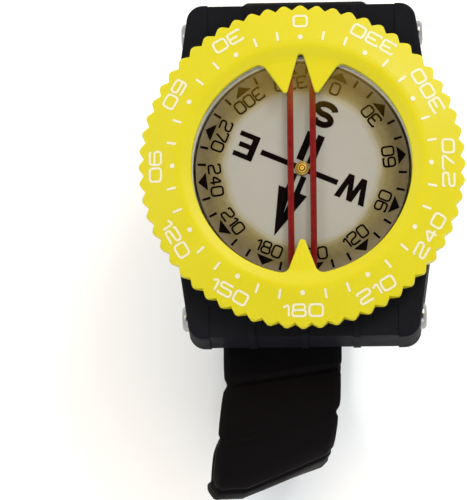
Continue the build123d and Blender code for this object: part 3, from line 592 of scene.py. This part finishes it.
class Lettering:
    """The size of a ring's digits, in millimetres: box, stroke width, gap, corner easing and radius."""

    def __init__(self, width, height, stroke, gap, easing, radius):
        self.width, self.height = width * MM, height * MM
        self.stroke, self.gap = stroke * MM, gap * MM
        self.easing, self.radius = easing * MM, radius * MM


BEZEL_DIGITS = Lettering(2.76, 2.36, 0.47, 0.28, 0.70, 30.4)
CARD_DIGITS = Lettering(1.84, 2.44, 0.40, 0.10, 0.66, 18.22)


def number(out, text, style, azimuth):
    """Prints a number centred at a clockwise azimuth, its top towards the dial's centre."""
    width, height, stroke, gap = style.width, style.height, style.stroke, style.gap
    widths = [width * (ONE_WIDTH if digit == "1" else 1.0) for digit in text]
    total = sum(widths) + (stroke + gap) * (len(text) - 1)
    right = Vector((-math.cos(azimuth), math.sin(azimuth)))
    up = Vector((-math.sin(azimuth), -math.cos(azimuth)))
    middle = Vector((math.sin(azimuth), math.cos(azimuth))) * style.radius
    start = -total / 2
    for digit, digit_width in zip(text, widths):
        def place(point, start=start):
            return middle + right * (start + point[0]) + up * (point[1] - height / 2)

        for points, closed in DIGITS[digit]:
            scaled = [(x * width, y * height) for x, y in points]
            out.stroke(rounded(scaled, style.easing, closed), stroke, place, closed)
        start += digit_width + stroke + gap


def radial(azimuth):
    """Placement in a frame whose first axis runs clockwise and second outwards at an azimuth."""
    out = Vector((math.sin(azimuth), math.cos(azimuth)))
    across = Vector((math.cos(azimuth), -math.sin(azimuth)))
    return lambda point: across * point[0] + out * point[1]


def bezel_height(x, y):
    """Height of the bezel's cone at a place, carried on past the cone's ends."""
    share = (CONE_LOW_RADIUS - math.hypot(x, y)) / (CONE_LOW_RADIUS - CONE_HIGH_RADIUS)
    return CONE_LOW_Z + (CONE_HIGH_Z - CONE_LOW_Z) * share


def bezel_marks():
    """Degrees every 30 with a dot below each, and two ticks between dots. Values grow anticlockwise."""
    out = Print(bezel_height)
    dot_radius, dot_place = 0.52 * MM, 26.85 * MM
    tick_inner, tick_outer, tick_width = 26.45 * MM, 28.45 * MM, 0.5 * MM
    for value in range(0, 360, 30):
        azimuth = -math.radians(value)
        number(out, str(value), BEZEL_DIGITS, azimuth)
        place = radial(azimuth)
        out.patch(arc((0, dot_place), (dot_radius, dot_radius), 0, 345, 23), place)
        for extra in (10, 20):
            place = radial(azimuth - math.radians(extra))
            out.stroke([(0, tick_inner), (0, tick_outer)], tick_width, place)
    return out.build("bezel_numerals", "rotating_bezel", BEZEL_INK)


def card_marks():
    """The card's scale, cardinal letters and north arrow. Degrees count clockwise from S."""
    out = Print(lambda x, y: CARD_HIGH.z)
    tick_inner, tick_outer, tick_width = 20.15 * MM, 21.9 * MM, 0.50 * MM
    mark_base, mark_tip, mark_half = 20.1 * MM, 21.95 * MM, 1.95 * MM
    for value in range(0, 360, 30):
        azimuth = CARD_HEADING + math.pi + math.radians(value)
        number(out, str(value), CARD_DIGITS, azimuth)
        place = radial(azimuth)
        out.patch([(-mark_half, mark_base), (0, mark_tip), (mark_half, mark_base)], place)
        for extra in (10, 20):
            place = radial(azimuth + math.radians(extra))
            out.stroke([(0, tick_inner), (0, tick_outer)], tick_width, place)
    card_figures(out)
    return out.build("card_lettering", "card", CARD_INK)


def card_figures(out):
    """The north arrow with its split shaft, the arms beside the pivot, and the letters E, W and S."""
    north = radial(CARD_HEADING)

    def at(x, y):
        return lambda point: north(((point[0] + x) * MM, (point[1] + y) * MM))

    origin = at(0, 0)
    tip, notch, base, barb = 15.4, 10.2, 5.1, 3.2
    slit, hub, overlap = 0.42, 1.5, 0.05
    for side in (-1, 1):
        out.patch([(0, tip), (side * barb, base), (side * slit, base), (0, notch)], origin)
        for edge, start, end in ((1.6, hub, base + overlap), (1.95, -hub, -7.9)):
            bar = [(slit, start), (edge, start), (edge, end), (slit, end)]
            out.patch([(side * x, y) for x, y in bar], origin)
    arm_start, arm_width = 1.4, 1.15
    for arm_end in (9.3, -8.0):
        out.stroke([(math.copysign(arm_start, arm_end), 0), (arm_end, 0)], arm_width, origin)
    letter_e(out, at(12.65, 0))
    letter_w(out, at(-11.6, 0))
    letter_s(out, at(0, -12.35))


def letter_e(out, place):
    """A bold E: a stem with three arms, the middle one shortest."""
    stem, arm, height, width = 1.35, 1.05, 5.5, 4.4
    top, left = height / 2, -width / 2
    inner, middle_end, upper_end = left + stem, left + width * 0.86, left + width * 0.98
    lower_arm = [(left, -top), (left + width, -top), (left + width, arm - top), (inner, arm - top)]
    middle_arm = [(inner, -arm / 2), (middle_end, -arm / 2), (middle_end, arm / 2), (inner, arm / 2)]
    upper_arm = [(inner, top - arm), (upper_end, top - arm), (upper_end, top), (left, top)]
    out.patch(lower_arm + middle_arm + upper_arm, place)


def letter_w(out, place):
    """A bold W, drawn as its right side and the mirror image of it."""
    half = 2.75
    crotch = 0.16 * half
    right_side = [
        (0.62, half), (1.38, -0.20 * half), (2.02, half), (3.32, half), (2.02, -half), (0.82, -half),
    ]
    left_side = [(-x, y) for x, y in reversed(right_side)]
    out.patch(right_side + [(0, crotch)] + left_side, place)


def letter_s(out, place):
    """A bold S: two joined arcs, the lower one a little larger."""
    upper = arc((0, 1.10), (1.78, 1.08), 12, 262, 20)
    lower = arc((0, -1.06), (1.96, 1.10), 82, -172, 20)
    stroke = 1.28
    out.stroke(upper + lower, stroke, place)


# ---------------------------------------------------------------- smooth pieces
def grid_mesh(name, rows, capped, body, slot, angle):
    """Skins closed rows of points. The ends are capped, or else the last row joins the first."""
    vertices = [point for row in rows for point in row]
    size, count = len(rows[0]), len(rows)
    faces = []
    for i in range(count - 1 if capped else count):
        here, there = i * size, (i + 1) % count * size
        for j in range(size):
            k = (j + 1) % size
            faces.append((here + j, here + k, there + k, there + j))
    if capped:
        faces.append(tuple(range(size))[::-1])
        faces.append(tuple((count - 1) * size + j for j in range(size)))
    mesh = bpy.data.meshes.new(name)
    mesh.from_pydata(vertices, [], faces)
    mesh.update()
    recalculate_normals(mesh)
    smooth_by_angle(mesh, angle)
    return add_piece(mesh, body, MATERIALS[slot])


def lubber_line(name, x):
    """One red line: a shallow rounded bead on the underside of the clear cover, tapered at its ends."""
    depth, reach = LINES_HIGH.z - LINES_LOW.z, LINES_HIGH.y
    lengthwise, crosswise = 60, 12
    rows = []
    for k in range(lengthwise + 1):
        y = -reach + 2 * reach * k / lengthwise
        fade = min(1.0, (reach - abs(y)) / LUBBER_FADE + 0.25)
        row = []
        for j in range(crosswise + 1):
            a = math.pi * j / crosswise
            lift = depth * (0.15 + 0.85 * math.sin(a)) if 0 < j < crosswise else 0.0
            row.append((x + LUBBER_HALF_WIDTH * fade * math.cos(a), y, LINES_LOW.z + lift))
        rows.append(row)
    return grid_mesh(name, rows, True, "case", "red_line", 60)


# ---------------------------------------------------------------- strap
class Route:
    """A side route with its corners rounded, read by distance from the pin."""

    BEND_STEPS = 12

    def __init__(self, corners, bends):
        corners = [Vector(c) for c in corners]
        points = [corners[0]]
        for before, corner, after, radius in zip(corners, corners[1:-1], corners[2:], bends):
            into, out = (before - corner).normalized(), (after - corner).normalized()
            half = into.angle(out) / 2
            reach = radius / math.tan(half)
            centre = corner + (into + out).normalized() * (radius / math.sin(half))
            start, end = corner + into * reach - centre, corner + out * reach - centre
            turn = math.atan2(start.x * end.y - start.y * end.x, start.dot(end))
            for k in range(self.BEND_STEPS + 1):
                a = turn * k / self.BEND_STEPS
                points.append(centre + Vector((
                    start.x * math.cos(a) - start.y * math.sin(a),
                    start.x * math.sin(a) + start.y * math.cos(a),
                )))
        points.append(corners[-1])
        self.points = points
        self.stations = [0.0]
        for a, b in zip(points, points[1:]):
            self.stations.append(self.stations[-1] + (b - a).length)
        self.length = self.stations[-1]

    def at(self, s):
        """Point and direction at a distance from the pin."""
        s = min(max(s, 0.0), self.length)
        for i in range(len(self.points) - 1):
            if s <= self.stations[i + 1]:
                break
        a, b = self.points[i], self.points[i + 1]
        along = (b - a).normalized()
        share = (s - self.stations[i]) / (self.stations[i + 1] - self.stations[i])
        return a.lerp(b, share), along

    def where(self, y):
        """Distance from the pin at which the route first passes a given y."""
        for station, a, b in zip(self.stations, self.points, self.points[1:]):
            if (a.x - y) * (b.x - y) <= 0:
                return station + (b - a).length * (y - a.x) / (b.x - a.x)
        return self.length


def ease(value, low, high):
    """Smooth step from 0 to 1 between two values."""
    t = min(1.0, max(0.0, (value - low) / (high - low)))
    return t * t * (3 - 2 * t)


def hang(across):
    """Extra reach of the long half's bend: steep on the right, level and then lifted near its left edge."""
    slope, shift, bow, rise, lift = 0.19, -1.5, 0.0525, 0.45, 0.25
    bow_start, rise_start, lift_start = -4.0, -8.0, -11.0
    bowed = bow * max(0.0, min(bow_start - across, bow_start - rise_start)) ** 2
    risen = rise * max(0.0, rise_start - across)
    lifted = lift * max(0.0, lift_start - across) ** 2
    return slope * across + shift + (bowed + risen) + lifted


def strap_section(half_width, groove, notch):
    """Half-section outline as (across, out) pairs: bevelled outer edges, eased inner edges."""
    half = THICKNESS / 2
    side = half_width - notch
    outer = half - groove
    shoulder = side - 1.7
    right = [
        (0.0, outer), (shoulder * 0.5, outer), (shoulder, outer), (side - 1.3, outer - 0.10),
        (side - 0.35, min(outer, half - 0.75)), (side - 0.08, min(outer, half - 1.05)),
        (side, min(outer - 0.1, half - 1.4)), (side, -half + 0.8), (side - 0.2, -half + 0.35),
        (side - 0.75, -half), (shoulder * 0.5, -half), (0.0, -half),
    ]
    left = [(-u, w) for u, w in reversed(right[1:-1])]
    return right + left


def strap(name, body, route, side, shift, width, grooves, end, slant, lean):
    """Sweeps the strap's section along its route. Grooves are V-cuts in the outer face.

    Along the route, width(s) is the strap's width, slant(s, across) its push along Y and lean(s) its push
    along X.
    """
    start, step, tip_radius = ROUTE_START, 0.8, 1.6
    stations = {start, end}
    steps = int((end - start) / step)
    stations.update(start + (end - start) * k / steps for k in range(steps + 1))
    for place in grooves:
        for offset in (0.15, 0.45, 0.8, 1.1, 1.5):
            stations.update((place - offset, place + offset))
    rows = []
    for s in sorted(x for x in stations if start <= x <= end):
        point, along = route.at(s)
        out = Vector((-along.y, along.x)) * side
        nearest = min(abs(s - place) for place in grooves)
        groove = GROOVE_DEPTH * (1 - ease(nearest, 0.1, 1.05))
        notch = NOTCH_DEPTH * (1 - ease(nearest, 0.05, 1.5)) + 0.10 * (1 - ease(nearest, 1.0, 3.5))
        tip = math.sqrt(max(0.0, 1 - (1 - min(1.0, (end - s) / tip_radius)) ** 2))
        row = []
        for across, lift in strap_section(width(s) / 2, groove, notch):
            across *= 0.96 + 0.04 * tip
            lift *= 0.25 + 0.75 * tip
            y = point.x + out.x * lift + slant(s, across)
            z = point.y + out.y * lift
            row.append(((shift + across + lean(s)) * MM, y * MM, z * MM))
        rows.append(row)
    return grid_mesh(name, rows, True, body, "strap_rubber", 38)


def pin_eye(name, body, centre, x0, x1, bore, radius):
    """A tube along X with eased ends, through which a pin passes."""
    sides, easing, knee = 48, 0.35, 0.1
    left = [(x0, bore), (x0, radius - easing), (x0 + knee, radius - knee), (x0 + easing, radius)]
    right = [(x1 - easing, radius), (x1 - knee, radius - knee), (x1, radius - easing), (x1, bore)]
    rows = []
    for k in range(sides):
        a = 2 * math.pi * k / sides
        rows.append([
            (x * MM, (centre[0] + r * math.cos(a)) * MM, (centre[1] + r * math.sin(a)) * MM)
            for x, r in left + right
        ])
    return grid_mesh(name, rows, False, body, "strap_rubber", 38)


def cut_holes(piece, places):
    """Cuts the adjusting holes through the tail: slots with flared edges."""
    sides, radius, half_length = 28, 1.1, 0.7
    flare = ((2.2, 0.35), (1.5, 0.22), (1.15, 0.0))
    levels = [(-z, grow) for z, grow in flare] + list(reversed(flare))
    work = bmesh.new()
    for y in places:
        rings = []
        for z, grow in levels:
            reach = radius + grow
            ring = []
            for k in range(sides):
                a = 2 * math.pi * k / sides
                centre = half_length if math.cos(a) >= 0 else -half_length
                ring.append(work.verts.new((
                    (LONG_SHIFT + centre + reach * math.cos(a)) * MM,
                    (y + reach * math.sin(a)) * MM,
                    (LONG_ROUTE[-1][1] + z) * MM,
                )))
            rings.append(ring)
        for low, high in zip(rings, rings[1:]):
            for i in range(sides):
                j = (i + 1) % sides
                work.faces.new((low[i], low[j], high[j], high[i]))
        work.faces.new(rings[0][::-1])
        work.faces.new(rings[-1])
    bmesh.ops.recalc_face_normals(work, faces=work.faces)
    cutter_mesh = bpy.data.meshes.new("hole_cutter")
    work.to_mesh(cutter_mesh)
    work.free()
    cutter = bpy.data.objects.new("hole_cutter", cutter_mesh)
    bpy.context.scene.collection.objects.link(cutter)
    cut = piece.modifiers.new("holes", "BOOLEAN")
    cut.operation = "DIFFERENCE"
    cut.solver = "EXACT"
    cut.object = cutter
    bpy.context.view_layer.update()
    holed = bpy.data.meshes.new_from_object(piece.evaluated_get(bpy.context.evaluated_depsgraph_get()))
    piece.modifiers.clear()
    piece.data = holed
    bpy.data.objects.remove(cutter)
    smooth_by_angle(holed, 38)


def long_half():
    """The half with the adjusting holes: a rubber band and the eye on the lower pin."""
    route = Route(LONG_ROUTE, LONG_BENDS)
    first = route.where(FIRST_GROOVE_Y)
    lug_end = route.where(LUG_END_Y)
    grooves = [first + GROOVE_PITCH * k for k in range(4)]

    def slant(s, across):
        """Push along Y: the half curls over at a slant, and its left side hangs furthest."""
        tail = ease(s, first + 28, first + 44)
        slope = 0.152 * ease(s, lug_end, first) + 0.078 * ease(s, first + 2, first + 10) + 0.03 * tail
        curl = ease(s, first + 8, first + 21) * (1 - tail)
        return slope * across + curl * hang(across)

    def width(s):
        """A little narrower beside the housing, full round the bend, and narrower again at the tail."""
        beside = 1 - ease(s, first, first + 10)
        return LONG_WIDTH + 0.1 - 0.85 * beside - 1.7 * ease(s, first + 44, first + 66)

    def lean(s):
        """Push along X: the half drifts to the left as it leaves the housing, and its tail comes back."""
        drift = 0.135 * min(max(s - first, 0.0), 27.0) + 0.6 * ease(s, first + 19, first + 27)
        beside = 1 - ease(s, first, first + 10)
        tail = ease(s, first + 50, first + 68)
        return -drift * (1 - tail) - 0.37 * beside - 0.6 * tail

    end = route.length + LONG_TIP
    band = strap(
        "strap_long_rubber", "long_strap", route, -1, LONG_SHIFT, width, grooves, end, slant, lean
    )
    cut_holes(band, HOLES_Y)
    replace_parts(band, "strap_long")
    left, right = LONG_SHIFT - LONG_WIDTH / 2 + EYE_INSET, LONG_SHIFT + LONG_WIDTH / 2 - EYE_INSET
    eye = pin_eye("strap_long_eye", "long_strap", LONG_ROUTE[0], left, right, PIN_BORE, EYE_RADIUS)
    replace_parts(eye, "strap_long")


def short_half():
    """The half with the buckle: a rubber band, the eye on the upper pin and two on the buckle's pin."""
    route = Route(SHORT_ROUTE, SHORT_BENDS)
    band = strap(
        "strap_short_rubber", "short_strap", route, 1, SHORT_SHIFT, lambda s: SHORT_WIDTH,
        SHORT_GROOVES, route.length + SHORT_TIP, lambda s, across: 0.0, lambda s: 0.0,
    )
    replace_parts(band, "strap_short")
    left, right = SHORT_SHIFT - SHORT_WIDTH / 2, SHORT_SHIFT + SHORT_WIDTH / 2
    eye = pin_eye(
        "strap_short_eye", "short_strap", SHORT_ROUTE[0], left + EYE_INSET, right - EYE_INSET,
        PIN_BORE, EYE_RADIUS,
    )
    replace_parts(eye, "strap_short")
    sides = (("left", left, SHORT_SHIFT - TONGUE_HALF_GAP), ("right", SHORT_SHIFT + TONGUE_HALF_GAP, right))
    for label, x0, x1 in sides:
        eye = pin_eye(
            f"buckle_eye_{label}", "short_strap", SHORT_ROUTE[-1], x0, x1, BUCKLE_BORE, BUCKLE_EYE_RADIUS
        )
        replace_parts(eye, "strap_short")


def keeper_loop(name, node, body, centre, along, inner_width, inner_height):
    """A moulded strap loop: a rounded wall section swept round a rounded rectangle."""
    across = Vector((1, 0, 0))
    along = Vector(along).normalized()
    up = along.cross(across).normalized()
    half_w, half_h = (inner_width + KEEPER_WALL) / 2, (inner_height + KEEPER_WALL) / 2
    corners = [(-half_w, -half_h), (half_w, -half_h), (half_w, half_h), (-half_w, half_h)]
    path = rounded(corners, KEEPER_CORNER, True, 6)
    section = []
    for corner_x, corner_y, start in ((1, 1, 0), (-1, 1, 90), (-1, -1, 180), (1, -1, 270)):
        centre_x = corner_x * (KEEPER_WALL / 2 - KEEPER_EDGE)
        centre_y = corner_y * (KEEPER_LENGTH / 2 - KEEPER_EDGE)
        section += arc((centre_x, centre_y), (KEEPER_EDGE, KEEPER_EDGE), start, start + 90, 4)
    rows = []
    for before, here, after in zip(path[-1:] + path[:-1], path, path[1:] + path[:1]):
        tangent = (after - before).normalized()
        out = Vector((tangent.y, -tangent.x))
        row = []
        for w, d in section:
            flat = here + out * w
            point = Vector(centre) + across * flat.x + up * flat.y + along * d
            row.append(tuple(point * MM))
        rows.append(row)
    made = grid_mesh(name, rows, False, body, "strap_rubber", 50)
    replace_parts(made, node)


def keepers():
    """The fixed keeper beside the buckle, and the loose one on the short half's slanting run."""
    centre = (SHORT_SHIFT, FIXED_KEEPER_Y, SHORT_ROUTE[-1][1])
    keeper_loop(
        "keeper_fixed_loop", "keeper_fixed", "short_strap", centre, (0, 1, 0), SHORT_WIDTH, THICKNESS
    )
    start, end = Vector((0, *SHORT_ROUTE[3])), Vector((0, *SHORT_ROUTE[4]))
    centre = (start + end) * 0.5 + Vector((SHORT_SHIFT, 0, 0))
    keeper_loop(
        "keeper_free_loop", "keeper_free", "free_keeper", centre, end - start,
        SHORT_WIDTH + FREE_KEEPER_GAP, THICKNESS + FREE_KEEPER_GAP,
    )


# ---------------------------------------------------------------- stage
LAMP_SIZE = 0.50
ROOM_STRENGTH, ROOM_COLOR = 1.25, (0.955, 0.98, 1.0, 1)
PATCH_STRENGTH, PATCH_ANGLES = 0.02, (31, 22)
WARM_STRENGTH, WARM_COLOR = 4.6, (1.0, 0.60, 0.06, 1)


def stage():
    """A pale plain floor, just clear of the strap's underside."""
    floor_mesh = bpy.data.meshes.new("floor")
    reach = 3.0
    floor_z = cad_box[0][2] - 0.05 * MM
    corners = [(-reach, -reach), (reach, -reach), (reach, reach), (-reach, reach)]
    floor_mesh.from_pydata([(x, y, floor_z) for x, y in corners], [], [(0, 1, 2, 3)])
    floor = bpy.data.objects.new("floor", floor_mesh)
    bpy.context.scene.collection.objects.link(floor)
    s = Shader("floor", (0.96, 0.96, 0.955), 0.8, Specular_IOR_Level=0.2)
    s.color(s.mix(s.noise(6, 2), (0.955, 0.955, 0.95), (0.965, 0.965, 0.96)))
    floor_mesh.materials.append(s.material)


def soft_light(name, place, watts):
    """A round soft lamp that points at the origin."""
    data = bpy.data.lights.new(name, "AREA")
    data.shape = "DISK"
    data.size = LAMP_SIZE
    data.energy = watts
    lamp = bpy.data.objects.new(name, data)
    lamp.location = place
    lamp.rotation_euler = (-Vector(place)).to_track_quat("-Z", "Y").to_euler()
    bpy.context.scene.collection.objects.link(lamp)


def smooth_range(tree, source, ends, values=(0.0, 1.0)):
    """A smooth step of a socket between two of its values."""
    made = tree.nodes.new("ShaderNodeMapRange")
    made.interpolation_type = "SMOOTHSTEP"
    tree.links.new(source, made.inputs["Value"])
    made.inputs["From Min"].default_value, made.inputs["From Max"].default_value = ends
    made.inputs["To Min"].default_value, made.inputs["To Max"].default_value = values
    return made.outputs["Result"]


def product(tree, first, second):
    made = tree.nodes.new("ShaderNodeMath")
    made.operation = "MULTIPLY"
    tree.links.new(first, made.inputs[0])
    tree.links.new(second, made.inputs[1])
    return made.outputs[0]


def studio():
    """A white room with a dark patch overhead and a warm one beside it, and three soft lamps."""
    world = bpy.data.worlds.new("studio")
    bpy.context.scene.world = world
    world.use_nodes = True
    tree = world.node_tree
    background = tree.nodes["Background"]
    direction = tree.nodes.new("ShaderNodeTexCoord")
    split = tree.nodes.new("ShaderNodeSeparateXYZ")
    tree.links.new(direction.outputs["Generated"], split.inputs[0])
    # white all round, with a dark patch straight overhead so the flat cover stays clear
    patch_ends = [math.cos(math.radians(angle)) for angle in PATCH_ANGLES]
    patch = smooth_range(tree, split.outputs["Z"], patch_ends, (ROOM_STRENGTH, PATCH_STRENGTH))
    # a warm patch on the far side of the overhead, mirrored by the upper part of the cover
    high_up = smooth_range(tree, split.outputs["Z"], (0.84, 0.90))
    warm = product(tree, smooth_range(tree, split.outputs["Y"], (0.24, 0.37)), high_up)
    hue = product(tree, smooth_range(tree, split.outputs["Y"], (0.12, 0.22)), high_up)
    strength = tree.nodes.new("ShaderNodeMath")
    strength.operation = "MULTIPLY_ADD"
    tree.links.new(warm, strength.inputs[0])
    strength.inputs[1].default_value = WARM_STRENGTH
    tree.links.new(patch, strength.inputs[2])
    tree.links.new(strength.outputs[0], background.inputs["Strength"])
    tint = tree.nodes.new("ShaderNodeMix")
    tint.data_type = "RGBA"
    tree.links.new(hue, tint.inputs[0])
    tint.inputs[6].default_value = ROOM_COLOR
    tint.inputs[7].default_value = WARM_COLOR
    tree.links.new(tint.outputs[2], background.inputs["Color"])
    soft_light("key", (0.46, 0.62, 0.82), 6.5)
    soft_light("side", (-0.76, 0.10, 0.78), 1.6)
    soft_light("front", (0.20, -0.78, 0.76), 0.8)
    bpy.context.scene.view_settings.view_transform = "Standard"


def camera():
    """Nearly overhead, leaning a little to the 6 o'clock side, with the dial up and right of centre."""
    azimuth, elevation, distance = math.radians(8.0), math.radians(80.4), 0.60
    view_height, sensor_height = 0.1037, 36.0
    off_right, off_up = 0.01428, 0.01765
    target = Vector((0, 0, 0.019))
    back = Vector((
        math.sin(azimuth) * math.cos(elevation),
        -math.cos(azimuth) * math.cos(elevation),
        math.sin(elevation),
    ))
    place = target + back * distance
    roll = math.radians(-0.60)
    right = Vector((0, 1, 0)).cross(back).normalized()
    up = back.cross(right)
    aim = target - right * off_right - up * off_up
    data = bpy.data.cameras.new("camera")
    data.sensor_fit = "VERTICAL"
    data.sensor_height = sensor_height
    data.lens = sensor_height * distance / view_height
    data.clip_start, data.clip_end = 0.01, 10
    shot = bpy.data.objects.new("camera", data)
    shot.matrix_world = Matrix.Translation(place) @ aimed(place, aim, up, roll)
    bpy.context.scene.collection.objects.link(shot)
    bpy.context.scene.camera = shot


def aimed(place, aim, up, roll):
    """Turn of a camera at a place that looks at a point, rolled about its line of sight."""
    back = (place - aim).normalized()
    right = up.cross(back).normalized()
    true_up = back.cross(right)
    turned_right = right * math.cos(roll) + true_up * math.sin(roll)
    turned_up = true_up * math.cos(roll) - right * math.sin(roll)
    return Matrix((turned_right, turned_up, back)).transposed().to_4x4()


camera()
studio()
stage()
dress_cad_nodes()
bezel_marks()
card_marks()
long_half()
short_half()
keepers()
for line_name, line_x in (("lubber_line_left", -LUBBER_X), ("lubber_line_right", LUBBER_X)):
    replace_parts(lubber_line(line_name, line_x), "lubber_lines")
